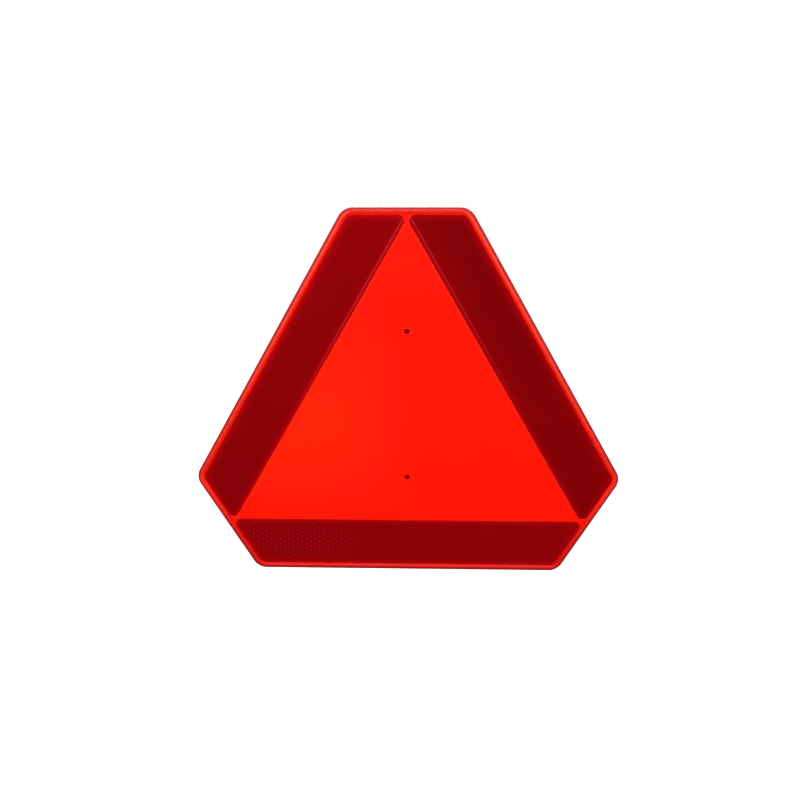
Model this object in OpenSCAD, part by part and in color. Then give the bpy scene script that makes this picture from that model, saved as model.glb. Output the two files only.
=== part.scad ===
// Rear warning triangle for slow vehicles: a moulded fluorescent plate with a
// rolled rim, and three prismatic reflectors seated in pockets along its sides.
// Millimetres. The sign stands upright, +Z up, and its face looks along -Y.
// Origin: middle of the pair of fixing holes, on the rear mounting plane.

/* [Sign face] */
// Side of the fluorescent triangle in the middle
triangle_side = 352; // [320:1:400]
// Width of one reflector strip
reflector_w = 48.7; // [42:0.1:60]
// Gap between the rounded tips of two neighbouring reflectors
tip_gap = 5.3; // [4.8:0.1:9]
// Corner radius at the tips of a reflector
tip_r = 5.7; // [4.8:0.1:8]
// Width of the rim outside the reflectors
rim_w = 6.9; // [6.6:0.1:9]
// Radius of the six outer corners of the plate
corner_r = 16; // [14:0.5:26]

/* [Plate section] */
// Thickness of the front panel
panel_t = 2.4; // [1.6:0.1:3.2]
// Thickness of the skirt and of the pocket walls
wall_t = 2; // [1.4:0.1:2.1]
// Radius of the rolled bead round the edge
bead_r = 3.2; // [2.8:0.1:3.3]
// Height of the bead above the front panel
bead_h = 1; // [0.6:0.1:1.6]
// How far the bead overhangs the skirt
bead_lip = 0.3; // [0.2:0.1:0.8]
// Thickness of the floor under each reflector
floor_t = 1.6; // [1.2:0.1:2.4]
// How far the pocket floors stay clear of the mounting plane
floor_lift = 0.4; // [0.2:0.1:2]
// Bevel round the mouth of each pocket
mouth_bevel = 0.5; // [0.2:0.1:0.6]

/* [Ribs and bosses] */
// Thickness of the three long ribs
rib_t = 1.8; // [1.2:0.1:3]
// Thickness of the short gussets between skirt and pockets
gusset_t = 1.4; // [1:0.1:2]
// Distance between gussets along the long sides
gusset_pitch = 48; // [30:1:70]
// Diameter of the boss round each fixing hole
boss_d = 14; // [10:0.5:20]

/* [Fixing holes] */
// Diameter of the fixing holes
hole_d = 5; // [4:0.1:8]
// Distance between the two fixing holes
hole_spacing = 150; // [100:1:190]
// Height of the middle of the pair above the middle of the sign
hole_rise = 21; // [0:1:40]

/* [Reflectors] */
// Thickness of the clear front of a reflector
skin_t = 1.8; // [1.2:0.1:2.6]
// Thickness of the wall round the prisms, which stands on the pocket floor
reflector_wall = 3.4; // [2.4:0.1:3.8]
// Distance between neighbouring cube-corner prisms
prism_pitch = 5.2; // [5.2:0.1:8]
// Height of the solid root above the prisms
prism_root = 0.15; // [0.1:0.05:0.5]
// Room between the prisms and the long walls
prism_margin = 0.1; // [0.05:0.05:1]
// Room between the prisms and the walls at the ends of a reflector
end_margin = 0.9; // [0.8:0.1:4]
// Air gap between the prisms and the pocket floor
air_gap = 0.3; // [0.2:0.1:1]
// Depth of a reflector's face below the front panel
recess = 0.4; // [0.2:0.1:0.8]
// Bevel round the face of a reflector
edge_bevel = 0.4; // [0.2:0.1:0.8]
// Clearance between a reflector and the walls of its pocket
fit = 0.2; // [0.1:0.05:0.4]

/* [Hidden] */
$fn = 48;

plate_colour = [0.99, 0.13, 0.05];
reflector_colour = [0.52, 0.01, 0.03];

// Turn that brings the bottom reflector to each side of the sign
bottom_turn = 0;
right_turn = 120;
left_turn = 240;
turns = [bottom_turn, right_turn, left_turn];

// Distances from the middle of the sign to the sides of the outlines
inradius = triangle_side / (2 * sqrt(3));
tip_reach = 2 * (inradius + 1.5 * tip_r - cos(30) * (tip_gap / 2 + tip_r));
long_reach = inradius + reflector_w + rim_w;
short_reach = tip_reach + rim_w;
reflector_corner_r = corner_r - rim_w;

// A cube corner stands on its tip, so its height follows from the pitch
prism_h = prism_pitch * sqrt(2 / 3);
lattice_step = prism_pitch / sqrt(3);
row_step = prism_pitch / 2;

// Heights above the mounting plane, with the sign lying on its back
cavity_h = air_gap + prism_h + prism_root;
reflector_t = cavity_h + skin_t;
seat_z = floor_lift + floor_t;
face_z = seat_z + reflector_t + recess;
bead_z = face_z + bead_h - bead_r;
rim_foot = 2 * bead_r + wall_t / 4;
hollow_h = face_z - panel_t;

// How far a cutting shape runs past the surface that it cuts
over = 1;
// The same for the small bevels
bevel_over = 0.2;

// A swept corner runs this many degrees into the straight pieces beside it, and
// is drawn this much smaller, so that its ends are buried in them
joint_lap = 1;
joint_step = 0.01;

// An outline is a list of sides in counter-clockwise order. Each side has the
// angle of its outward normal, its distance from the middle and the radius of
// the corner between it and the next side.
plate_outline = [
    for (turn = [right_turn, left_turn, bottom_turn]) each [
        [30 + turn - right_turn, long_reach, corner_r],
        [90 + turn - right_turn, short_reach, corner_r],
    ],
];
reflector_outline = [
    [90, -inradius, tip_r],
    [210, tip_reach, reflector_corner_r],
    [270, inradius + reflector_w, reflector_corner_r],
    [330, tip_reach, tip_r],
];

// Lattice rows between the long walls, and the last lattice lines at the ends
rows = floor((reflector_w - 2 * (reflector_wall + prism_margin)) / row_step);
first_row_y = -inradius - (reflector_w + rows * row_step) / 2;
end_room = tip_reach - reflector_wall - end_margin + first_row_y / 2;
tip_normal = corner(reflector_outline, 3) * unit(30);
tip_room = tip_normal + tip_r - reflector_wall - prism_margin - first_row_y / 2;
end_i = floor(end_room / row_step);
tip_i = floor(tip_room / row_step);

// Direction at an angle
function unit(angle) = [cos(angle), sin(angle)];

// The side after side i, and the angle between the two
function next(outline, i) = outline[(i + 1) % len(outline)];
function turn_after(outline, i) = (next(outline, i)[0] - outline[i][0] + 360) % 360;

// Centre of the rounded corner after side i
function corner(outline, i) =
    let (
        side = outline[i],
        turn = turn_after(outline, i),
        reach = side[1] - side[2],
        next_reach = next(outline, i)[1] - side[2]
    )
    reach * unit(side[0]) + (next_reach - reach * cos(turn)) / sin(turn) * unit(side[0] + 90);

// Ends of the straight part of side i, on the outline grown by some distance
function side_start(outline, i, grow) =
    let (k = (i + len(outline) - 1) % len(outline))
    corner(outline, k) + (outline[k][2] + grow) * unit(outline[i][0]);
function side_end(outline, i, grow) =
    corner(outline, i) + (outline[i][2] + grow) * unit(outline[i][0]);

// Flat shape inside an outline that is grown by some distance, or shrunk
module area(outline, grow = 0) {
    polygon([
        for (i = [0:len(outline) - 1]) each
            [side_start(outline, i, grow), side_end(outline, i, grow)]
    ]);
    for (i = [0:len(outline) - 1])
        translate(corner(outline, i)) circle(r = outline[i][2] + grow);
}

// Sweeps a section round an outline. In the section x runs outward from the
// outline and y is the height, and $inset says how much smaller it is drawn.
module sweep_round(outline, grow = 0) {
    for (i = [0:len(outline) - 1]) {
        start = side_start(outline, i, grow);
        end = side_end(outline, i, grow);
        translate(end) rotate([90, 0, outline[i][0]]) linear_extrude(height = norm(end - start))
            let ($inset = 0) children();
        translate(corner(outline, i)) rotate([0, 0, outline[i][0] - joint_lap])
            rotate_extrude(angle = turn_after(outline, i) + 2 * joint_lap)
                translate([outline[i][2] + grow, 0]) let ($inset = joint_step) children();
    }
}

// Section of a bevel of some size, cut off an edge at the section's origin whose
// material lies at -X and -Y
module bevel_section(size) {
    polygon([
        [bevel_over - $inset, -size - bevel_over + 2 * $inset],
        [bevel_over - $inset, bevel_over],
        [-size - bevel_over + $inset, bevel_over],
    ]);
}

// Puts copies at the three sides of the sign
module each_side() {
    for (turn = turns)
        rotate([0, 0, turn]) children();
}

// Stands the sign up, with the middle of its fixing holes at the origin
module upright() {
    rotate([90, 0, 0]) translate([0, -hole_rise, 0]) children();
}

// Places of the two fixing holes
module at_holes() {
    for (side = [-1, 1])
        translate([0, hole_rise + side * hole_spacing / 2]) children();
}

// Section of the rim: the skirt under its rolled bead
module rim_section() {
    foot = rim_foot - $inset;
    translate([-foot, 0]) square([foot - bead_lip - $inset, bead_z]);
    translate([-bead_r, bead_z]) circle(r = bead_r - $inset);
}

// Three ribs that cross in the middle and run out to the skirt
module ribs() {
    for (turn = turns)
        rotate(90 + turn) square([2 * short_reach + over, rib_t], center = true);
}

// Short gussets that tie the skirt to the pocket walls
module gussets() {
    long_room = side_end(plate_outline, 0, 0) - side_start(plate_outline, 0, 0);
    steps = floor(norm(long_room) / 2 / gusset_pitch);
    for (turn = turns, side = [-1, 1], step = [1:steps])
        rotate(turn) translate([side * step * gusset_pitch, -long_reach])
            translate([-gusset_t / 2, 0]) square([gusset_t, rim_w]);
    for (turn = turns, side = [-1, 1])
        rotate(turn) translate([side * gusset_pitch * 3 / 4, short_reach - rim_w])
            translate([-gusset_t / 2, 0]) square([gusset_t, rim_w]);
}

// Everything that is left standing behind the front panel is kept out of this
module rear_hollow() {
    difference() {
        area(plate_outline, -bead_lip - wall_t);
        each_side() area(reflector_outline, fit + wall_t);
        ribs();
        gussets();
        at_holes() circle(d = boss_d);
    }
}

// Pocket for one reflector, cut from the front, with its bevelled mouth
module pocket() {
    translate([0, 0, seat_z]) linear_extrude(height = face_z - seat_z + over)
        area(reflector_outline, fit);
    translate([0, 0, face_z]) sweep_round(reflector_outline, fit)
        mirror([1, 0]) bevel_section(mouth_bevel);
}

// One moulding: rolled rim, front panel, three pockets, ribs and bosses
module sign_plate() {
    color(plate_colour) upright() difference() {
        union() {
            sweep_round(plate_outline) rim_section();
            linear_extrude(height = face_z) area(plate_outline, -1.5 * bead_r);
        }
        translate([0, 0, -over]) linear_extrude(height = hollow_h + over) rear_hollow();
        each_side() translate([0, 0, -over]) linear_extrude(height = floor_lift + over)
            area(reflector_outline, fit + wall_t);
        each_side() pocket();
        translate([0, 0, -over]) linear_extrude(height = face_z + 2 * over)
            at_holes() circle(d = hole_d);
    }
}

// The prisms stand on a lattice of small triangles whose lines run along the
// sides of the reflector. Index i counts steps along a row, index j counts rows,
// and each row starts half a step further along.
function lattice(i, j) = [(i + j / 2) * lattice_step, first_row_y + j * row_step];

// Every third point is a tip, and the others are mid and high corners of cubes
function lattice_z(i, j) = air_gap + prism_h / 2 * (((i - j) % 3 + 3) % 3);

// Array of cube corners under a solid root that is sunk into the clear front.
// The field ends on lattice lines: i runs up to end_i, and the sharp tips are
// cut off where i + j passes tip_i. Its left half mirrors its right half, and
// the cubes at its edge run out into the clear front.
module prisms() {
    top_z = cavity_h + prism_root;
    columns = 2 * tip_i + 1;
    function row_first(j) = max(-end_i - j, -tip_i);
    function row_last(j) = min(end_i, tip_i - j);
    function id(i, j) = j * columns + i + tip_i;
    function at_edge(i, j) = j == 0 || j == rows || i <= row_first(j) || i >= row_last(j);
    points = [
        for (j = [0:rows], i = [-tip_i:tip_i])
            let (p = lattice(i, j))
            [p.x, p.y, at_edge(i, j) ? top_z : lattice_z(i, j)]
    ];
    facets = [
        for (j = [0:rows - 1]) each [
            for (i = [row_first(j):row_last(j) - 1])
                if (i >= row_first(j + 1) && i <= row_last(j + 1))
                    [id(i, j), id(i + 1, j), id(i, j + 1)],
            for (i = [row_first(j + 1):row_last(j + 1) - 1])
                if (i + 1 >= row_first(j) && i + 1 <= row_last(j))
                    [id(i + 1, j), id(i + 1, j + 1), id(i, j + 1)],
        ]
    ];
    edge = concat(
        [for (j = [1:rows]) id(row_first(j), j)],
        [for (i = [row_first(rows) + 1:row_last(rows)]) id(i, rows)],
        [for (j = [rows - 1:-1:0]) id(row_last(j), j)],
        [for (i = [row_last(0) - 1:-1:row_first(0)]) id(i, 0)]
    );
    middle = [0, first_row_y + rows * row_step / 2, top_z];
    lid = [
        for (k = [0:len(edge) - 1])
            [edge[k], edge[(k + 1) % len(edge)], len(points)]
    ];
    polyhedron(points = concat(points, [middle]), faces = concat(facets, lid));
}

// One moulded reflector: clear front, standing wall and prisms behind the front
module reflector(turn) {
    color(reflector_colour) upright() rotate([0, 0, turn]) translate([0, 0, seat_z]) union() {
        difference() {
            linear_extrude(height = reflector_t) area(reflector_outline);
            translate([0, 0, -over]) linear_extrude(height = cavity_h + over)
                area(reflector_outline, -reflector_wall);
            translate([0, 0, reflector_t]) sweep_round(reflector_outline)
                bevel_section(edge_bevel);
        }
        prisms();
    }
}

module left_reflector() reflector(left_turn);
module right_reflector() reflector(right_turn);
module bottom_reflector() reflector(bottom_turn);

sign_plate();
left_reflector();
right_reflector();
bottom_reflector();
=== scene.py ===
"""Studio scene of a rear warning triangle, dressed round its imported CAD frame."""
import logging
import math
from dataclasses import dataclass, field
from enum import Enum
from typing import Any, Dict, List, Tuple, Union

import bpy
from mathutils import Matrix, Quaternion, Vector


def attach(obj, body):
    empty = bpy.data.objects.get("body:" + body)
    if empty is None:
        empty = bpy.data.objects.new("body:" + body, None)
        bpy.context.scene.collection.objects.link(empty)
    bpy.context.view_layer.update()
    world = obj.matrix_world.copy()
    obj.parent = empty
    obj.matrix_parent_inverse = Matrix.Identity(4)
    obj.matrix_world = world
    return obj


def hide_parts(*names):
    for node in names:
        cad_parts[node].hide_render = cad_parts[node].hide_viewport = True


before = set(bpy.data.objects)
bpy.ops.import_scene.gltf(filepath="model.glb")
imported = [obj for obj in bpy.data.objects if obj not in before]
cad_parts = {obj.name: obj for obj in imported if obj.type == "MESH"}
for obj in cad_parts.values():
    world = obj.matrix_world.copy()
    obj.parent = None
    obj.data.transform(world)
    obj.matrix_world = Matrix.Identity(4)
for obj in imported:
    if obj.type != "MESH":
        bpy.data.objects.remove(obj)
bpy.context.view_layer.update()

LOG = logging.getLogger("warning_triangle")
MM = 0.001

Number = Union[int, float]
Colour = Tuple[float, float, float]
Point = Tuple[float, float, float]
Span = Tuple[float, float]
Section = List[Tuple[float, float]]
Stops = Tuple[Tuple[float, Colour], ...]
Sockets = Dict[Union[str, int], Any]


class Side(Enum):
    """The three sides of the sign, each with its turn from the bottom one in degrees."""

    BOTTOM = 0.0
    RIGHT = 120.0
    LEFT = 240.0

    @property
    def node(self) -> str:
        """Name of the CAD reflector on this side."""
        return f"{self.name.lower()}_reflector"

    @property
    def along(self) -> Point:
        """Unit vector along the strip, to the right of somebody who stands on its foot."""
        turn = math.radians(self.value)
        return (math.cos(turn), 0.0, math.sin(turn))

    @property
    def outward(self) -> Point:
        """Unit vector from the middle of the sign to the strip."""
        turn = math.radians(self.value - 90.0)
        return (math.cos(turn), 0.0, math.sin(turn))


@dataclass(frozen=True)
class SignSizes:
    """Sizes of the sign in metres, as the CAD source has them."""

    centre_z: float = -21.0 * MM
    strip_inner: float = 101.61 * MM
    strip_outer: float = 150.31 * MM
    strip_end: float = 205.86 * MM
    strip_tip_r: float = 5.7 * MM
    strip_corner_r: float = 9.1 * MM
    long_reach: float = 157.21 * MM
    short_reach: float = 212.76 * MM
    corner_r: float = 16.0 * MM
    face: float = 8.896 * MM
    prism_pitch: float = 5.2 * MM
    first_row: float = 146.76 * MM
    hole_r: float = 2.5 * MM
    hole_rise: float = 75.0 * MM


SIZES = SignSizes()
RIGHTWARD: Point = (1.0, 0.0, 0.0)
REARWARD: Point = (0.0, 1.0, 0.0)
UPWARD: Point = (0.0, 0.0, 1.0)
WHITE = (1.0, 1.0, 1.0, 1.0)


def forward(height: float) -> Vector:
    """Offset that lifts a point above the mounting plane, towards the front."""
    return Vector((0.0, -height, 0.0))


@dataclass(frozen=True)
class PlanSide:
    """A straight side of an outline on the sign's plan, and the corner that follows it."""

    angle: float
    reach: float
    corner_r: float

    @property
    def outward(self) -> Vector:
        """Unit vector out of the outline, in the upright plane of the sign."""
        turn = math.radians(self.angle)
        return Vector((math.cos(turn), 0.0, math.sin(turn)))


@dataclass(frozen=True)
class Outline:
    """A closed outline of straight sides in counter-clockwise order, seen from the front."""

    sides: Tuple[PlanSide, ...]

    @classmethod
    def of_plate(cls) -> "Outline":
        """Outline of the whole plate.

        Returns:
            The outline, with a long and a short side by turns.
        """
        sides = []
        for turn in (30.0, 150.0, 270.0):
            sides.append(PlanSide(turn, SIZES.long_reach, SIZES.corner_r))
            sides.append(PlanSide(turn + 60.0, SIZES.short_reach, SIZES.corner_r))
        return cls(tuple(sides))

    @classmethod
    def of_strip(cls, side: Side) -> "Outline":
        """Outline of the reflector on one side of the sign.

        Args:
            side: the side of the sign.

        Returns:
            The outline.
        """
        turn = side.value
        return cls(
            (
                PlanSide(90.0 + turn, -SIZES.strip_inner, SIZES.strip_tip_r),
                PlanSide(210.0 + turn, SIZES.strip_end, SIZES.strip_corner_r),
                PlanSide(270.0 + turn, SIZES.strip_outer, SIZES.strip_corner_r),
                PlanSide(330.0 + turn, SIZES.strip_end, SIZES.strip_tip_r),
            )
        )

    def turn_after(self, index: int) -> float:
        """Angle between a side and the next one, in radians."""
        following = self.sides[(index + 1) % len(self.sides)]
        return math.radians((following.angle - self.sides[index].angle) % 360.0)

    def corner(self, index: int) -> Vector:
        """Centre of the rounded corner after a side.

        Args:
            index: the side's place in the outline.

        Returns:
            The centre, on the mounting plane.
        """
        side, following = self.sides[index], self.sides[(index + 1) % len(self.sides)]
        turn = self.turn_after(index)
        reach, next_reach = side.reach - side.corner_r, following.reach - side.corner_r
        along = Vector((-side.outward.z, 0.0, side.outward.x))
        slide = (next_reach - reach * math.cos(turn)) / math.sin(turn)
        return Vector((0.0, 0.0, SIZES.centre_z)) + side.outward * reach + along * slide

    def start(self, index: int) -> Vector:
        """Point where the straight part of a side starts."""
        before = (index - 1) % len(self.sides)
        return self.corner(before) + self.sides[index].outward * self.sides[before].corner_r

    def end(self, index: int) -> Vector:
        """Point where the straight part of a side ends."""
        side = self.sides[index]
        return self.corner(index) + side.outward * side.corner_r


class Workbench:
    """Hand tools for modelling: each drives Blender's own operators on one piece of work."""

    CORNER_STEPS = 20
    ROUND_STEPS = 48
    SMOOTH_ANGLE = 35.0
    WELD = 0.001 * MM

    def begin(self, name: str, place: Vector) -> bpy.types.Object:
        """Starts a piece as a single point and stays in edit mode.

        Args:
            name: the piece's name.
            place: where the point lies.

        Returns:
            The piece, whose object sits at the origin.
        """
        bpy.ops.object.select_all(action="DESELECT")
        bpy.ops.mesh.primitive_plane_add(size=MM)
        piece = bpy.context.active_object
        piece.name = name
        bpy.context.tool_settings.mesh_select_mode = (True, False, False)
        bpy.ops.object.mode_set(mode="EDIT")
        bpy.ops.mesh.select_all(action="SELECT")
        bpy.ops.mesh.merge(type="CENTER")
        bpy.ops.transform.translate(value=place)
        return piece

    def draw_section(self, outward: Vector, section: Section) -> None:
        """Extrudes the active point along a section.

        Args:
            outward: direction of the section's first number.
            section: how far out and how far above the mounting plane each point lies.
        """
        for (out, height), (next_out, next_height) in zip(section, section[1:]):
            step = outward * (next_out - out) + forward(next_height - height)
            bpy.ops.mesh.extrude_vertices_move(TRANSFORM_OT_translate={"value": step})
        bpy.ops.mesh.select_all(action="SELECT")

    def close(self, piece: bpy.types.Object, heights: Tuple[float, ...]) -> None:
        """Welds a swept skin, caps it at some heights and leaves edit mode.

        Args:
            piece: the piece in edit mode.
            heights: heights of the open loops above the mounting plane.
        """
        bpy.ops.mesh.select_all(action="SELECT")
        bpy.ops.mesh.remove_doubles(threshold=self.WELD)
        for height in heights:
            bpy.ops.mesh.select_all(action="DESELECT")
            bpy.ops.object.mode_set(mode="OBJECT")
            for vertex in piece.data.vertices:
                vertex.select = abs(vertex.co.y + height) < self.WELD
            bpy.ops.object.mode_set(mode="EDIT")
            bpy.ops.mesh.edge_face_add()
        bpy.ops.mesh.select_all(action="SELECT")
        bpy.ops.mesh.normals_make_consistent(inside=False)
        bpy.ops.object.mode_set(mode="OBJECT")

    def sweep(self, name: str, outline: Outline, section: Section) -> bpy.types.Object:
        """Runs a section round an outline and closes both its ends with flat caps.

        Args:
            name: the piece's name.
            outline: the outline to follow.
            section: how far outside the outline and how high each point lies.

        Returns:
            The solid.
        """
        out, height = section[0]
        outward = outline.sides[0].outward
        piece = self.begin(name, outline.start(0) + outward * out + forward(height))
        self.draw_section(outward, section)
        for index in range(len(outline.sides)):
            run = outline.end(index) - outline.start(index)
            bpy.ops.mesh.extrude_region_move(TRANSFORM_OT_translate={"value": run})
            bpy.ops.mesh.spin(
                steps=self.CORNER_STEPS,
                angle=outline.turn_after(index),
                center=outline.corner(index),
                axis=REARWARD,
            )
        self.close(piece, (section[0][1], section[-1][1]))
        return piece

    def turn(self, name: str, centre: Vector, section: Section) -> bpy.types.Object:
        """Turns a section round an upright point of the plan, as on a lathe.

        Args:
            name: the piece's name.
            centre: a point of the axis, which is square to the sign.
            section: radius and height of each point; it starts and ends on the axis.

        Returns:
            The solid.
        """
        outward = Vector(RIGHTWARD)
        radius, height = section[0]
        piece = self.begin(name, centre + outward * radius + forward(height))
        self.draw_section(outward, section)
        bpy.ops.mesh.spin(steps=self.ROUND_STEPS, angle=math.tau, center=centre, axis=REARWARD)
        self.close(piece, ())
        return piece

    def rib(
        self, name: str, foot: Vector, head: Vector, thick: float, high: float
    ) -> bpy.types.Object:
        """Makes a straight upright wall between two points of the plan.

        Args:
            name: the piece's name.
            foot: middle of one end.
            head: middle of the other end.
            thick: the wall's thickness.
            high: its height above the mounting plane; it starts a little below it.

        Returns:
            The solid.
        """
        along = (head - foot).normalized()
        across = Vector((-along.z, 0.0, along.x)) * thick
        below = MM
        piece = self.begin(name, foot - across / 2 + forward(-below))
        for step in (across, head - foot, forward(high + below)):
            bpy.ops.mesh.select_all(action="SELECT")
            bpy.ops.mesh.extrude_region_move(TRANSFORM_OT_translate={"value": step})
        bpy.ops.mesh.select_all(action="SELECT")
        bpy.ops.mesh.normals_make_consistent(inside=False)
        bpy.ops.object.mode_set(mode="OBJECT")
        return piece

    def cut(self, work: bpy.types.Object, tool: bpy.types.Object) -> None:
        """Cuts a solid out of another one and is done with it.

        Args:
            work: the solid that stays.
            tool: the solid that is cut out and used up.
        """
        step = work.modifiers.new(tool.name, "BOOLEAN")
        step.operation = "DIFFERENCE"
        step.solver = "EXACT"
        step.object = tool
        self.apply(work, step)
        bpy.data.objects.remove(tool)

    def apply(self, work: bpy.types.Object, step: bpy.types.Modifier) -> None:
        """Applies a modifier to a piece.

        Args:
            work: the piece.
            step: the modifier.
        """
        bpy.ops.object.select_all(action="DESELECT")
        bpy.context.view_layer.objects.active = work
        work.select_set(True)
        bpy.ops.object.modifier_apply(modifier=step.name)

    def weld(self, work: bpy.types.Object) -> None:
        """Cuts faces into triangles and merges points that were left in one place.

        Args:
            work: the solid.
        """
        bpy.ops.object.select_all(action="DESELECT")
        bpy.context.view_layer.objects.active = work
        bpy.ops.object.mode_set(mode="EDIT")
        bpy.ops.mesh.select_all(action="SELECT")
        bpy.ops.mesh.quads_convert_to_tris(quad_method="BEAUTY", ngon_method="BEAUTY")
        bpy.ops.mesh.remove_doubles(threshold=self.WELD)
        bpy.ops.object.mode_set(mode="OBJECT")

    def smooth(self, work: bpy.types.Object) -> None:
        """Shades curved faces smooth and keeps flat faces flat.

        Args:
            work: the solid.
        """
        bpy.ops.object.select_all(action="DESELECT")
        bpy.context.view_layer.objects.active = work
        work.select_set(True)
        bpy.ops.object.shade_smooth_by_angle(angle=math.radians(self.SMOOTH_ANGLE))
        step = work.modifiers.new("flat_faces_stay_flat", "WEIGHTED_NORMAL")
        step.keep_sharp = True
        self.apply(work, step)


class Signal:
    """A value or vector that flows through a shader, with operators that add Math nodes."""

    def __init__(self, recipe: "ShaderRecipe", socket: bpy.types.NodeSocket) -> None:
        """Wraps a socket.

        Args:
            recipe: the builder of the nodes.
            socket: the output socket that carries the signal.
        """
        self.recipe = recipe
        self.socket = socket

    def __add__(self, other: "Operand") -> "Signal":
        """Sum of two signals."""
        return self.recipe.maths("ADD", self, other)

    def __radd__(self, other: "Operand") -> "Signal":
        """Sum with a number on the left."""
        return self.recipe.maths("ADD", other, self)

    def __sub__(self, other: "Operand") -> "Signal":
        """Difference of two signals."""
        return self.recipe.maths("SUBTRACT", self, other)

    def __rsub__(self, other: "Operand") -> "Signal":
        """Difference with a number on the left."""
        return self.recipe.maths("SUBTRACT", other, self)

    def __mul__(self, other: "Operand") -> "Signal":
        """Product of two signals."""
        return self.recipe.maths("MULTIPLY", self, other)

    def __rmul__(self, other: "Operand") -> "Signal":
        """Product with a number on the left."""
        return self.recipe.maths("MULTIPLY", other, self)

    def __truediv__(self, other: "Operand") -> "Signal":
        """Quotient of two signals."""
        return self.recipe.maths("DIVIDE", self, other)

    def __gt__(self, other: "Operand") -> "Signal":
        """1 where this signal is the greater one, otherwise 0."""
        return self.recipe.maths("GREATER_THAN", self, other)

    def smaller(self, other: "Operand") -> "Signal":
        """The smaller of two signals."""
        return self.recipe.maths("MINIMUM", self, other)

    def larger(self, other: "Operand") -> "Signal":
        """The larger of two signals."""
        return self.recipe.maths("MAXIMUM", self, other)

    def root(self) -> "Signal":
        """Square root."""
        return self.recipe.maths("SQRT", self)

    def fract(self) -> "Signal":
        """What is left above the next whole number down."""
        return self.recipe.maths("FRACT", self)

    def dot(self, direction: Point) -> "Signal":
        """Length of this vector along a direction."""
        return self.recipe.signal(
            "ShaderNodeVectorMath", {"operation": "DOT_PRODUCT"}, {0: self, 1: direction}, "Value"
        )

    def rise(self, low: float, high: float) -> "Signal":
        """Smooth step that rises from 0 at low to 1 at high, or falls if low is the higher.

        Args:
            low: the signal's value where the step is 0.
            high: the signal's value where the step is 1.

        Returns:
            The step.
        """
        step = self.recipe.signal(
            "ShaderNodeMapRange",
            {"interpolation_type": "SMOOTHSTEP"},
            {"Value": self, "From Min": min(low, high), "From Max": max(low, high)},
        )
        return step if low < high else 1.0 - step

    def line(self, centre: float, half_width: float) -> "Signal":
        """A soft line: 1 at the centre and 0 beyond the half width on either side."""
        return self.rise(centre - half_width, centre) * self.rise(centre + half_width, centre)


Operand = Union[Signal, Number]


def extremes(first: Signal, second: Signal, third: Signal) -> Tuple[Signal, Signal]:
    """The largest and the least of three signals."""
    return first.larger(second).larger(third), first.smaller(second).smaller(third)


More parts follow.
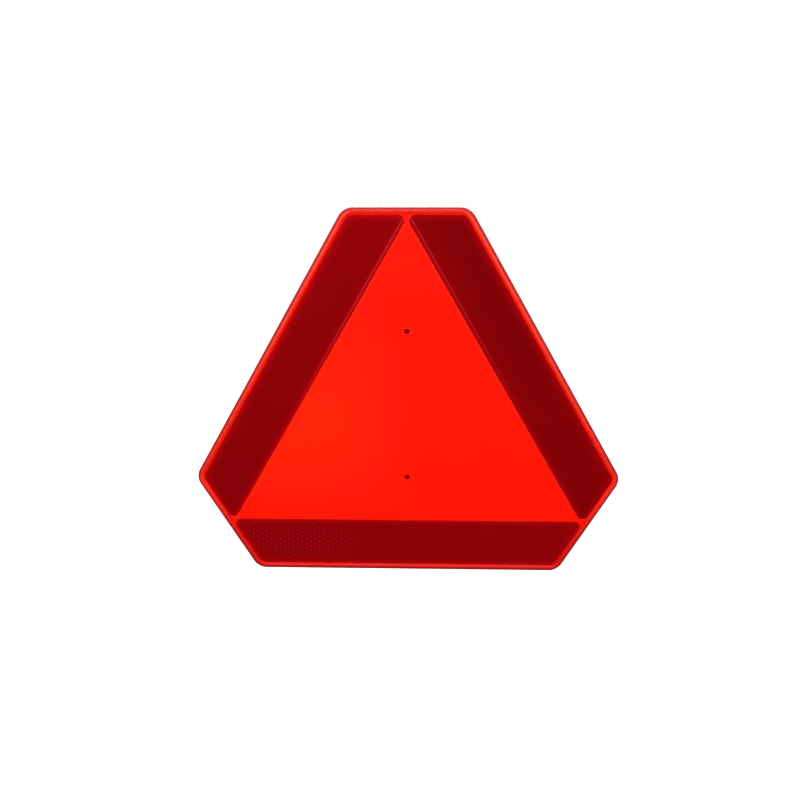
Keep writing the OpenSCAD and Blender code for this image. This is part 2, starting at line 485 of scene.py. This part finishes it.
class ShaderRecipe:
    """Builds the nodes of one material, or of the surroundings."""

    def __init__(self, owner: Union[bpy.types.Material, bpy.types.World]) -> None:
        """Empties the nodes of a new material or world.

        Args:
            owner: the material or world.
        """
        owner.use_nodes = True
        self.owner = owner
        self.tree = owner.node_tree
        self.tree.nodes.clear()
        coordinates = self.node("ShaderNodeTexCoord", {}, {})
        self.place = Signal(self, coordinates.outputs["Object"])
        self.direction = Signal(self, coordinates.outputs["Generated"])

    def node(self, kind: str, settings: Dict[str, Any], sockets: Sockets) -> bpy.types.Node:
        """Adds any node.

        Args:
            kind: the node's type.
            settings: what is set on the node itself; "stops" fills a colour ramp.
            sockets: a value or a Signal for each input socket.

        Returns:
            The new node.
        """
        made = self.tree.nodes.new(kind)
        for setting, value in settings.items():
            if setting == "stops":
                self.fill_ramp(made.color_ramp, value)
            else:
                setattr(made, setting, value)
        for socket, value in sockets.items():
            if isinstance(value, Signal):
                self.tree.links.new(value.socket, made.inputs[socket])
            else:
                made.inputs[socket].default_value = value
        return made

    def signal(
        self, kind: str, settings: Dict[str, Any], sockets: Sockets, output: Union[str, int] = 0
    ) -> Signal:
        """One output of a new node."""
        return Signal(self, self.node(kind, settings, sockets).outputs[output])

    @staticmethod
    def fill_ramp(ramp: bpy.types.ColorRamp, stops: Stops) -> None:
        """Gives a colour ramp its stops.

        Args:
            ramp: the ramp of a new node.
            stops: position and colour of each stop, from low to high.
        """
        while len(ramp.elements) < len(stops):
            ramp.elements.new(1.0)
        for element, (position, colour) in zip(ramp.elements, stops):
            element.position = position
            element.color = (*colour, 1.0)

    def maths(self, operation: str, *operands: Operand) -> Signal:
        """Result of a new Math node on its operands in order."""
        return self.signal("ShaderNodeMath", {"operation": operation}, dict(enumerate(operands)))

    def blend(self, share: Operand, first: Any, second: Any, way: str = "MIX") -> Signal:
        """Mixes two colours.

        Args:
            share: how much of the second colour shows, from 0 to 1.
            first: a colour or a Signal.
            second: a colour or a Signal.
            way: the Mix node's blend type.

        Returns:
            The mixed colour.
        """
        pair = [c if isinstance(c, Signal) else (*c, 1.0) for c in (first, second)]
        return self.signal(
            "ShaderNodeMix",
            {"data_type": "RGBA", "blend_type": way},
            {0: share, 6: pair[0], 7: pair[1]},
            2,
        )

    def ramp(self, position: Signal, stops: Stops) -> Signal:
        """Colour that runs through some stops as the position goes from 0 to 1."""
        return self.signal("ShaderNodeValToRGB", {"stops": stops}, {"Fac": position})

    def noise(self, size: float, detail: float = 2.0) -> Signal:
        """Noise from 0 to 1 whose grains have about the given size in metres."""
        return self.signal(
            "ShaderNodeTexNoise", {}, {"Vector": self.place, "Scale": 1.0 / size, "Detail": detail}
        )

    def bump(self, height: Signal, depth: float, strength: float) -> Signal:
        """Normal of a surface whose height varies from 0 to depth in metres."""
        return self.signal(
            "ShaderNodeBump", {}, {"Height": height, "Distance": depth, "Strength": strength}
        )

    def finish(self, sockets: Sockets) -> bpy.types.Material:
        """Closes the recipe with a Principled shader.

        Args:
            sockets: a value or a Signal for each of the shader's inputs.

        Returns:
            The material.
        """
        shader = self.signal("ShaderNodeBsdfPrincipled", {}, sockets)
        self.node("ShaderNodeOutputMaterial", {}, {"Surface": shader})
        return self.owner


class SignPlan:
    """Distances on the sign's plan, worked out in a shader from a point of the surface."""

    def __init__(self, recipe: ShaderRecipe) -> None:
        """Measures how far a point lies out towards each long side.

        Args:
            recipe: the material's node builder.
        """
        self.recipe = recipe
        self.furthest, self.least = extremes(*(self.reach(side) for side in Side))

    def reach(self, side: Side) -> Signal:
        """Distance from the middle of the sign towards a side."""
        outward = side.outward
        return self.recipe.place.dot(outward) - SIZES.centre_z * outward[2]

    def corner(self, first: Signal, second: Signal, radius: float, angle: float) -> Signal:
        """Depth inside two sides whose corner is rounded.

        Args:
            first: depth inside the first side.
            second: depth inside the second side.
            radius: the corner's radius.
            angle: the angle between the sides' outward normals, in degrees.

        Returns:
            The depth, which is 0 on the outline.
        """
        cosine, sine = math.cos(math.radians(angle)), math.sin(math.radians(angle))
        out_first, out_second = radius - first, radius - second
        share_first = out_first - out_second * cosine
        share_second = out_second - out_first * cosine
        rounded = (share_first > 0.0) * (share_second > 0.0)
        squared = (
            out_first * out_first + out_second * out_second - 2.0 * cosine * out_first * out_second
        )
        depth = radius - squared.larger(0.0).root() / sine
        return first.smaller(second) * (1.0 - rounded) + depth * rounded

    def depth_in_strip(self) -> Signal:
        """Distance inside the outline of the nearest reflector.

        Returns:
            The distance, which is below 0 outside it.
        """
        inner = self.furthest - SIZES.strip_inner
        outer = SIZES.strip_outer - self.furthest
        end = SIZES.strip_end + self.least
        tip = self.corner(inner, end, SIZES.strip_tip_r, angle=120.0)
        return tip.smaller(self.corner(outer, end, SIZES.strip_corner_r, angle=60.0))

    def depth_in_plate(self) -> Signal:
        """Distance inside the outline of the whole plate."""
        long_side, short_side = SIZES.long_reach - self.furthest, SIZES.short_reach + self.least
        return self.corner(long_side, short_side, SIZES.corner_r, angle=60.0)


@dataclass(frozen=True)
class FluorescentPlastic:
    """Satin fluorescent red-orange plastic of the moulded plate."""

    name: str = "fluorescent_plastic"
    face: Colour = (0.985, 0.0064, 0.0014)
    # painted light: a warmer, more orange tint that the face takes on the left, where the light
    # falls; clouds of it also vary at random
    warm: Colour = (0.985, 0.0158, 0.0024)
    # painted shade: a darker, pinker band where the panel rounds down into each pocket
    pocket_edge: Colour = (0.80, 0.0160, 0.0080)
    # painted highlight: a paler line along the bead's crest on the long sides, fading towards the
    # bottom
    crest: Colour = (0.980, 0.1000, 0.0600)
    # painted shade: deeper red on the skirt's side wall, which is turned away from the light
    skirt: Colour = (0.620, 0.0120, 0.0060)
    shade: Colour = (0.520, 0.0012, 0.0010)
    # painted shade: multiplies the rim darker low down on the sign, where less light reaches
    low_tint: Colour = (0.640, 0.3500, 0.5000)
    # painted shade: the rim darkens towards the outline, where the bead turns away from the light
    depths: Stops = (
        (0.00, (0.33, 0.0160, 0.0150)),
        (0.20, (0.40, 0.0160, 0.0150)),
        (0.34, (0.46, 0.0150, 0.0130)),
        (0.49, (0.57, 0.0170, 0.0120)),
        (0.64, (0.70, 0.0210, 0.0130)),
        (0.80, (0.84, 0.0180, 0.0090)),
        (1.00, (0.985, 0.0100, 0.0040)),
    )
    rim_depth: float = 5.0 * MM
    face_start: float = 0.8
    skirt_span: Span = (-6.5 * MM, -4.5 * MM)
    crest_line: Span = (3.7 * MM, 1.1 * MM)
    crest_rise: Span = (-0.17, 0.16)
    crest_side: Span = (149.0 * MM, 152.0 * MM)
    crest_share: float = 0.9
    low_rise: Span = (-0.08, -0.15)
    low_depth: Span = (8.5 * MM, 7.0 * MM)
    flank_depth: Span = (1.5 * MM, 4.5 * MM)
    flank_share: float = 0.4
    bore_mouth: float = 0.3 * MM
    bore_wall: Span = (0.4 * MM, 0.1 * MM)
    warm_aside: Span = (0.03, -0.09)
    warm_level: Span = (-0.02, 0.13)
    warm_share: float = 0.8
    mouth_line: Span = (-0.6 * MM, 1.6 * MM)
    mouth_share: float = 0.6
    cloud_size: float = 60.0 * MM
    cloud_share: float = 0.2
    grain_size: float = 0.7 * MM
    grain_detail: float = 3.0
    grain_depth: float = 0.010 * MM
    grain_strength: float = 0.5
    glow: float = 0.06
    specular: float = 0.12
    roughness: float = 0.32
    cloud_roughness: float = 0.06
    grain_roughness: float = 0.04

    def rim_colour(self, recipe: ShaderRecipe, plan: SignPlan, face: Signal) -> Signal:
        """Paints shade on the bead's outer half and skirt, a highlight on its crest, and shade low
        down.

        Args:
            recipe: the material's node builder.
            plan: distances on the sign's plan.
            face: colour of the flat face.

        Returns:
            The colour.
        """
        depth = plan.depth_in_plate()
        upward = recipe.place.dot(UPWARD)
        # painted shade over the bead's outer half, dark at the outline and the face colour further
        # in
        deep = recipe.ramp(depth / self.rim_depth, self.depths)
        # painted shade: the skirt's side wall is darker red
        on_skirt = recipe.place.dot(REARWARD).rise(*self.skirt_span)
        deep = recipe.blend(on_skirt, deep, self.skirt)
        on_face = depth.rise(self.face_start * self.rim_depth, self.rim_depth)
        colour = recipe.blend(on_face, deep, face)
        # painted highlight along the bead's crest on the long sides, fading out towards the bottom
        long_side = plan.furthest.rise(*self.crest_side)
        worn = depth.line(*self.crest_line) * upward.rise(*self.crest_rise) * long_side
        colour = recipe.blend(worn * self.crest_share, colour, self.crest)
        # painted shade on the rim along the bottom of the sign, somewhat weaker at the outline
        low = upward.rise(*self.low_rise) * depth.rise(*self.low_depth)
        flank = (1.0 - self.flank_share) + self.flank_share * depth.rise(*self.flank_depth)
        return recipe.blend(low * flank, colour, self.low_tint, "MULTIPLY")

    def bore_shade(self, recipe: ShaderRecipe) -> Signal:
        """Where the surface lies inside a fixing hole.

        Args:
            recipe: the material's node builder.

        Returns:
            1 inside the bores and 0 elsewhere.
        """
        aside = recipe.place.dot(RIGHTWARD)
        rise = recipe.maths("ABSOLUTE", recipe.place.dot(UPWARD)) - SIZES.hole_rise
        radius = (aside * aside + rise * rise).root()
        inside = recipe.place.dot(REARWARD).rise(-SIZES.face, self.bore_mouth - SIZES.face)
        return (radius - SIZES.hole_r).rise(*self.bore_wall) * inside

    def material(self) -> bpy.types.Material:
        """Makes the material.

        Returns:
            The material.
        """
        recipe = ShaderRecipe(bpy.data.materials.new(self.name))
        plan = SignPlan(recipe)
        cloud = recipe.noise(self.cloud_size)
        grain = recipe.noise(self.grain_size, self.grain_detail)
        # painted light: the face is tinted warmer towards the left, in a band round the middle
        # height, plus random clouds of the same tint
        leftness = recipe.place.dot(RIGHTWARD).rise(*self.warm_aside)
        level = recipe.place.dot(UPWARD).line(*self.warm_level)
        warmth = leftness * level * self.warm_share + cloud * self.cloud_share
        colour = recipe.blend(warmth, self.face, self.warm)
        # painted shade along the rounded mouth of each pocket
        mouth = plan.depth_in_strip().line(*self.mouth_line)
        colour = recipe.blend(mouth * self.mouth_share, colour, self.pocket_edge)
        colour = self.rim_colour(recipe, plan, colour)
        colour = recipe.blend(self.bore_shade(recipe), colour, self.shade)
        rough = self.roughness + self.cloud_roughness * cloud + self.grain_roughness * grain
        return recipe.finish(
            {
                "Base Color": colour,
                "Roughness": rough,
                "Specular IOR Level": self.specular,
                "Emission Color": colour,
                "Emission Strength": self.glow,
                "Normal": recipe.bump(grain, self.grain_depth, self.grain_strength),
            }
        )


@dataclass(frozen=True)
class PrismaticPlastic:
    """Polished clear red plastic over cube-corner prisms, on one side of the sign."""

    side: Side
    deep: Colour
    dark: Colour
    # painted glints: brighter dots at the cube-corner tips, stronger on the left and in random
    # patches
    spark: Colour = (0.450, 0.0180, 0.0300)
    # painted highlight: a pale line a little inside the strip's inner edge, stronger higher up
    seam: Colour = (0.440, 0.0300, 0.0360)
    seam_strength: float = 0.9
    seam_place: float = 2.7 * MM
    edge_share: float = 1.0
    # painted shade: darker towards the upper outer part of the strip
    gloom: float = 0.0
    gloomy: Colour = (0.170, 0.0001, 0.0010)
    gloom_rise: Span = (-0.04, 0.08)
    gloom_reach: Span = (108.0 * MM, 132.0 * MM)
    sparkle: float = 0.25
    spark_height: Span = (0.20, 0.02)
    seam_width: float = 0.65 * MM
    seam_rise: Span = (-0.03, 0.13)
    field_depth: Span = (2.6 * MM, 3.8 * MM)
    clear_aside: Span = (-0.045, -0.070)
    clear_share: float = 0.7
    patch_size: float = 28.0 * MM
    patch_rise: Span = (0.35, 0.7)
    patch_share: float = 0.5
    cloud_size: float = 45.0 * MM
    cloud_roughness: float = 0.10
    roughness: float = 0.30
    specular: float = 0.05
    coat: float = 0.30
    coat_roughness: float = 0.05
    coat_ior: float = 1.45
    prism_depth: float = 0.30 * MM
    prism_strength: float = 0.35
    band_depth: float = 8.0 * MM
    band: Stops = (
        (0.00, (0.480, 0.0012, 0.0022)),
        (0.10, (0.410, 0.0008, 0.0016)),
        (0.28, (0.352, 0.0004, 0.0018)),
        (0.50, (0.305, 0.0003, 0.0022)),
        (1.00, (0.262, 0.0003, 0.0022)),
    )

    def cube_corners(self, recipe: ShaderRecipe, plan: SignPlan) -> Signal:
        """Height of the array of cube corners, from 0 at a tip.

        Args:
            recipe: the material's node builder.
            plan: distances on the sign's plan.

        Returns:
            The height as a share of a cube's diagonal.
        """
        slant = math.cos(math.radians(30.0))
        period = SIZES.prism_pitch * slant
        along = recipe.place.dot(self.side.along) - SIZES.centre_z * self.side.along[2]
        across = plan.reach(self.side) - SIZES.first_row
        first = along / period
        half, tall = along * (-0.5 / period), across * (slant / period)
        parts = [part.fract() for part in (first, half + tall, half - tall)]
        largest, least = extremes(*parts)
        total = parts[0] + parts[1] + parts[2]
        middle = total - largest - least
        upper = total > 1.5
        return upper * (1.0 - middle) + (1.0 - upper) * (1.0 - largest)

    def material(self) -> bpy.types.Material:
        """Makes the material.

        Returns:
            The material.
        """
        name = f"prismatic_plastic_{self.side.name.lower()}"
        recipe = ShaderRecipe(bpy.data.materials.new(name))
        plan = SignPlan(recipe)
        height = self.cube_corners(recipe, plan)
        depth = plan.depth_in_strip()
        upward = recipe.place.dot(UPWARD)
        field_mask = depth.rise(*self.field_depth)
        cloud = recipe.noise(self.cloud_size)
        patch = recipe.noise(self.patch_size).rise(*self.patch_rise)
        patch = (1.0 - self.patch_share) + self.patch_share * patch
        colour = recipe.blend(cloud, self.dark, self.deep)
        # painted glints at the cube-corner tips, stronger towards the left and in random patches
        leftness = recipe.place.dot(RIGHTWARD).rise(*self.clear_aside)
        clear = (1.0 - self.clear_share) + self.clear_share * leftness
        # painted shade towards the upper outer part of the strip
        far = upward.rise(*self.gloom_rise) * plan.furthest.rise(*self.gloom_reach)
        colour = recipe.blend(far * self.gloom, colour, self.gloomy)
        spark = height.rise(*self.spark_height) * field_mask * clear * patch
        colour = recipe.blend(spark * self.sparkle, colour, self.spark)
        band = recipe.ramp(depth / self.band_depth, self.band)
        share = depth.rise(self.band_depth, 0.0)
        colour = recipe.blend(share.root() * self.edge_share, colour, band)
        # painted highlight along a line a little inside the strip's inner edge, stronger higher up
        seam = (plan.furthest - SIZES.strip_inner).line(self.seam_place, self.seam_width)
        seam = seam * upward.rise(*self.seam_rise)
        colour = recipe.blend(seam * self.seam_strength, colour, self.seam)
        return recipe.finish(
            {
                "Base Color": colour,
                "Roughness": self.roughness + self.cloud_roughness * cloud,
                "Specular IOR Level": self.specular,
                "Coat Weight": self.coat,
                "Coat Roughness": self.coat_roughness,
                "Coat IOR": self.coat_ior,
                "Normal": recipe.bump(height * field_mask, self.prism_depth, self.prism_strength),
            }
        )


@dataclass(frozen=True)
class PaleFloorPaint:
    """Matt white paint of the studio floor."""

    colour: Colour = (0.50, 0.50, 0.50)
    clouded: Colour = (0.47, 0.47, 0.47)
    cloud_size: float = 0.4
    cloud_share: float = 0.3
    roughness: float = 0.9
    specular: float = 0.1
    glow: float = 1.0

    def material(self) -> bpy.types.Material:
        """Makes the material.

        Returns:
            The material.
        """
        recipe = ShaderRecipe(bpy.data.materials.new("pale_floor_paint"))
        cloud = recipe.noise(self.cloud_size)
        return recipe.finish(
            {
                "Base Color": recipe.blend(cloud * self.cloud_share, self.colour, self.clouded),
                "Roughness": self.roughness,
                "Specular IOR Level": self.specular,
                "Emission Color": WHITE,
                "Emission Strength": self.glow,
            }
        )


@dataclass
class SignPlate:
    """The moulded plate: rolled rim, front panel, three pockets, ribs and bosses."""

    body: str = "root"
    node: str = "sign_plate"
    slot: str = "fluorescent_plastic"
    finish: FluorescentPlastic = field(default_factory=FluorescentPlastic)
    bench: Workbench = field(default_factory=Workbench)
    face: float = SIZES.face
    panel: float = 2.4 * MM
    wall: float = 2.0 * MM
    bead_r: float = 3.2 * MM
    bead_height: float = 6.686 * MM
    bead_lip: float = 0.3 * MM
    root_r: float = 0.5 * MM
    foot_r: float = 0.3 * MM
    seat: float = 2.0 * MM
    lift: float = 0.4 * MM
    mouth_r: float = 0.5 * MM
    fit: float = 0.2 * MM
    rib_t: float = 1.8 * MM
    gusset_t: float = 1.4 * MM
    gusset_pitch: float = 48.0 * MM
    gussets_a_side: int = 3
    short_side_share: float = 0.75
    rim_w: float = 6.9 * MM
    boss_r: float = 7.0 * MM
    hole_edge: float = 0.25 * MM
    # a film of painted shade closes each fixing hole, where the real hole is open
    film_top: float = 1.2 * MM
    film_t: float = 0.4 * MM
    over: float = 1.0 * MM
    play: float = 0.03 * MM
    inset: float = 0.06 * MM
    roll_steps: int = 22
    edge_steps: int = 4

    @staticmethod
    def arc(
        centre: Tuple[float, float], radius: float, first: float, last: float, steps: int
    ) -> Section:
        """Points of an arc in a section.

        Args:
            centre: the arc's centre in the section.
            radius: its radius.
            first: angle of its first point in degrees, 0 outward and 90 forward.
            last: angle of its last point.
            steps: number of steps between them.

        Returns:
            The points.
        """
        angles = [math.radians(first + (last - first) * k / steps) for k in range(steps + 1)]
        return [
            (centre[0] + radius * math.cos(a), centre[1] + radius * math.sin(a)) for a in angles
        ]

    def rim_section(self) -> Section:
        """Section of skirt, rolled bead and the small fillet at the bead's root.

        Returns:
            The points, from the skirt's foot to the flat face.
        """
        bead = (-self.bead_r, self.bead_height)
        low = -math.degrees(math.acos((self.bead_r - self.bead_lip) / self.bead_r))
        rise = self.face + self.root_r - self.bead_height
        high = 180.0 - math.degrees(math.asin(rise / (self.bead_r + self.root_r)))
        root = (
            bead[0] + (self.bead_r + self.root_r) * math.cos(math.radians(high)),
            self.face + self.root_r,
        )
        heel = (-self.bead_lip - self.foot_r, self.foot_r)
        foot = self.arc(heel, self.foot_r, -90.0, 0.0, self.edge_steps)
        roll = self.arc(bead, self.bead_r, low, high, self.roll_steps)
        fillet = self.arc(root, self.root_r, high - 180.0, -90.0, self.edge_steps)
        points = foot + roll + fillet[1:] + [(root[0] - self.over, self.face)]
        return [(out - self.inset, height) for out, height in points]

    def pocket_section(self) -> Section:
        """Section of a pocket's wall and its rounded mouth.

        Returns:
            The points, from the pocket's floor to just above the face.
        """
        bend = (self.fit + self.mouth_r, self.face - self.mouth_r)
        mouth = self.arc(bend, self.mouth_r, 180.0, 90.0, self.edge_steps)
        return [(self.fit, self.seat), *mouth, (mouth[-1][0], self.face + self.over)]

    def carve_rear(self, plate: bpy.types.Object, rim: Outline) -> None:
        """Hollows the plate from behind, round pockets, ribs, gussets and bosses.

        Args:
            plate: the solid plate.
            rim: the plate's outline.
        """
        top = self.face - self.panel
        low, high = -2 * self.over, top + self.over
        inside = -self.bead_lip - self.wall
        hollow = self.bench.sweep("hollow", rim, [(inside, -self.over), (inside, top)])
        block = [(self.fit + self.wall, low), (self.fit + self.wall, high)]
        for side in Side:
            self.bench.cut(hollow, self.bench.sweep("pocket_block", Outline.of_strip(side), block))
        for name, foot, head, thick in self.walls():
            self.bench.cut(hollow, self.bench.rib(name, foot, head, thick, high))
        boss = [(0.0, low), (self.boss_r, low), (self.boss_r, high), (0.0, high)]
        for centre in self.hole_centres():
            self.bench.cut(hollow, self.bench.turn("boss", centre, boss))
        self.bench.cut(plate, hollow)

    def walls(self) -> List[Tuple[str, Vector, Vector, float]]:
        """Ribs across the plate and gussets behind its rim.

        Returns:
            Name, two ends and thickness of each wall.
        """
        middle = Vector((0.0, 0.0, SIZES.centre_z))
        found = []
        for side in Side:
            out, along = Vector(side.outward), Vector(side.along)
            reach = out * (SIZES.short_reach + self.over)
            found.append(("rib", middle - reach, middle + reach, self.rib_t))
            steps = range(1, self.gussets_a_side + 1)
            for slide in [sign * step * self.gusset_pitch for sign in (-1, 1) for step in steps]:
                foot = middle + along * slide + out * SIZES.long_reach
                found.append(("gusset", foot - out * self.rim_w, foot, self.gusset_t))
            aside = self.short_side_share * self.gusset_pitch
            for slide in (-aside, aside):
                foot = middle + along * slide - out * SIZES.short_reach
                found.append(("gusset", foot + out * self.rim_w, foot, self.gusset_t))
        return found

    def hole_centres(self) -> List[Vector]:
        """Places of the two fixing holes on the mounting plane."""
        return [Vector((0.0, 0.0, rise)) for rise in (-SIZES.hole_rise, SIZES.hole_rise)]

    def bores(self, centre: Vector) -> List[bpy.types.Object]:
        """Shapes of a fixing hole before and behind a thin film that closes it, a sheet of painted
        shade where the real hole is open.

        Args:
            centre: the hole's centre on the mounting plane.

        Returns:
            The solids to cut away.
        """
        bend = (SIZES.hole_r + self.hole_edge, self.face - self.hole_edge)
        edge = self.arc(bend, self.hole_edge, 180.0, 90.0, self.edge_steps)
        front = [(0.0, self.film_top), (SIZES.hole_r, self.film_top), *edge]
        front += [(edge[-1][0], self.face + self.over), (0.0, self.face + self.over)]
        back = self.film_top - self.film_t
        rear = [(0.0, -self.over), (SIZES.hole_r, -self.over), (SIZES.hole_r, back), (0.0, back)]
        return [
            self.bench.turn("front_bore", centre, front),
            self.bench.turn("rear_bore", centre, rear),
        ]

    def build(self) -> bpy.types.Object:
        """Models the plate.

        Returns:
            The plate.
        """
        rim = Outline.of_plate()
        plate = self.bench.sweep("moulded_plate", rim, self.rim_section())
        self.carve_rear(plate, rim)
        for centre in self.hole_centres():
            for bore in self.bores(centre):
                self.bench.cut(plate, bore)
        grown = self.fit + self.wall + self.play
        lift = [(grown, -self.over), (grown, self.lift)]
        for side in Side:
            strip = Outline.of_strip(side)
            self.bench.cut(plate, self.bench.sweep("lift", strip, lift))
            self.bench.cut(plate, self.bench.sweep("pocket", strip, self.pocket_section()))
        self.bench.weld(plate)
        self.bench.smooth(plate)
        return plate

    def dress(self, plate: bpy.types.Object) -> None:
        """Gives the plate its plastic and puts it in the place of its CAD node.

        Args:
            plate: the finished plate.
        """
        plastic = self.finish.material()
        put_finish(plate, plastic)
        put_finish(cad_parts[self.node], plastic)
        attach(plate, self.body)
        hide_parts(self.node)
        LOG.info("plate dressed: %d faces", len(plate.data.polygons))


@dataclass
class ReflectorSet:
    """The three prismatic reflectors in their pockets."""

    # lit and shaded copies of one plastic: each side's brightness, painted shade, glints and
    # highlight follow how the light falls on it
    finishes: Tuple[PrismaticPlastic, ...] = (
        PrismaticPlastic(
            Side.BOTTOM,
            deep=(0.275, 0.0003, 0.0022),
            dark=(0.245, 0.0002, 0.0018),
            seam_strength=0.0,
            sparkle=0.9,
        ),
        PrismaticPlastic(
            Side.RIGHT,
            deep=(0.230, 0.0003, 0.0016),
            dark=(0.196, 0.0002, 0.0013),
            seam_strength=0.7,
            seam_place=3.3 * MM,
            edge_share=0.6,
            gloom=0.8,
        ),
        PrismaticPlastic(Side.LEFT, deep=(0.238, 0.0003, 0.0018), dark=(0.216, 0.0003, 0.0016)),
    )

    def dress(self) -> None:
        """Gives each reflector its copy of the clear plastic, with prisms along its side and light
        and shade painted for that side.
        """
        for finish in self.finishes:
            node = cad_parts[finish.side.node]
            put_finish(node, finish.material())
            LOG.info("%s dressed: %d faces", node.name, len(node.data.polygons))


def put_finish(piece: bpy.types.Object, material: bpy.types.Material) -> None:
    """Gives a piece one material in its first slot.

    Args:
        piece: the piece.
        material: its material.
    """
    if piece.material_slots:
        piece.material_slots[0].material = material
    else:
        piece.data.materials.append(material)


@dataclass(frozen=True)
class Softbox:
    """A soft rectangular studio light that points at a spot."""

    name: str
    place: Point
    size: Tuple[float, float]
    power: float
    aim: Point = (0.0, 0.0, 0.0)

    def build(self) -> bpy.types.Object:
        """Hangs the light.

        Returns:
            The light.
        """
        lamp = bpy.data.lights.new(self.name, "AREA")
        lamp.shape = "RECTANGLE"
        lamp.size, lamp.size_y = self.size
        lamp.energy = self.power
        light = bpy.data.objects.new(self.name, lamp)
        bpy.context.scene.collection.objects.link(light)
        light.location = self.place
        look = Vector(self.aim) - Vector(self.place)
        light.rotation_euler = look.to_track_quat("-Z", "Y").to_euler()
        return light


@dataclass
class Studio:
    """Camera, soft lights, white surroundings and a pale floor."""

    eye: Point = (0.02058, -0.88277, 0.29123)
    aim: Point = (-0.00669, -0.00850, 0.00636)
    roll: float = -0.208
    lens: float = 42.39
    sensor: float = 36.0
    clip: Span = (0.05, 30.0)
    floor_middle: Point = (0.0, 3.75, -0.45)
    floor_radius: float = 4.0
    floor_facets: int = 96
    floor_rim: float = 0.08
    fill: float = 0.25
    fill_rise: Span = (-0.05, 0.6)
    softboxes: Tuple[Softbox, ...] = (
        Softbox("softbox_front", (0.0, -1.25, 1.25), (1.0, 0.6), 30.0),
        Softbox("softbox_left", (-1.05, -1.15, 0.45), (0.30, 1.0), 8.0),
        Softbox("softbox_right", (1.05, -1.15, 0.45), (0.30, 1.0), 7.0),
        Softbox("softbox_rear", (0.2, 1.5, 0.8), (1.2, 1.2), 18.0),
        Softbox("softbox_low", (0.0, 0.35, -0.43), (1.4, 0.4), 3.0),
    )

    def place_camera(self) -> None:
        """Puts the camera at the photograph's viewpoint."""
        data = bpy.data.cameras.new("photo_camera")
        data.lens = self.lens
        data.sensor_width = self.sensor
        data.clip_start, data.clip_end = self.clip
        camera = bpy.data.objects.new("photo_camera", data)
        bpy.context.scene.collection.objects.link(camera)
        camera.location = self.eye
        look = (Vector(self.aim) - Vector(self.eye)).to_track_quat("-Z", "Y")
        camera.rotation_mode = "QUATERNION"
        camera.rotation_quaternion = look @ Quaternion((0.0, 0.0, 1.0), math.radians(self.roll))
        bpy.context.scene.camera = camera

    def light_surroundings(self) -> None:
        """Makes the surroundings white to look at and dim as a light."""
        world = bpy.data.worlds.new("white_surroundings")
        bpy.context.scene.world = world
        recipe = ShaderRecipe(world)
        sky = recipe.direction.dot(UPWARD).rise(*self.fill_rise) * self.fill
        dim = recipe.signal("ShaderNodeBackground", {}, {"Color": WHITE, "Strength": sky})
        seen = recipe.signal("ShaderNodeBackground", {}, {"Color": WHITE})
        camera_ray = recipe.signal("ShaderNodeLightPath", {}, {}, "Is Camera Ray")
        choice = recipe.signal("ShaderNodeMixShader", {}, {0: camera_ray, 1: dim, 2: seen})
        recipe.node("ShaderNodeOutputWorld", {}, {"Surface": choice})

    def lay_floor(self) -> None:
        """Lays a round pale floor."""
        bpy.ops.object.select_all(action="DESELECT")
        bpy.ops.mesh.primitive_circle_add(
            vertices=self.floor_facets,
            radius=self.floor_radius,
            fill_type="NGON",
            location=self.floor_middle,
        )
        floor = bpy.context.active_object
        floor.name = "studio_floor"
        bpy.ops.object.transform_apply(location=True, rotation=True, scale=True)
        bpy.ops.object.mode_set(mode="EDIT")
        bpy.ops.mesh.inset(thickness=self.floor_rim, depth=0.0)
        bpy.ops.object.mode_set(mode="OBJECT")
        put_finish(floor, PaleFloorPaint().material())
        floor.visible_diffuse = False
        floor.visible_glossy = False

    def build(self) -> None:
        """Sets up the whole studio."""
        scene = bpy.context.scene
        scene.view_settings.view_transform = "Standard"
        scene.view_settings.look = "None"
        self.place_camera()
        self.light_surroundings()
        self.lay_floor()
        for softbox in self.softboxes:
            softbox.build()
        LOG.info("studio built with %d lights", len(self.softboxes))


def main() -> None:
    """Builds the studio and dresses the sign."""
    logging.basicConfig(level=logging.INFO, format="%(name)s: %(message)s")
    Studio().build()
    plate = SignPlate()
    plate.dress(plate.build())
    ReflectorSet().dress()


if __name__ == "__main__":
    main()
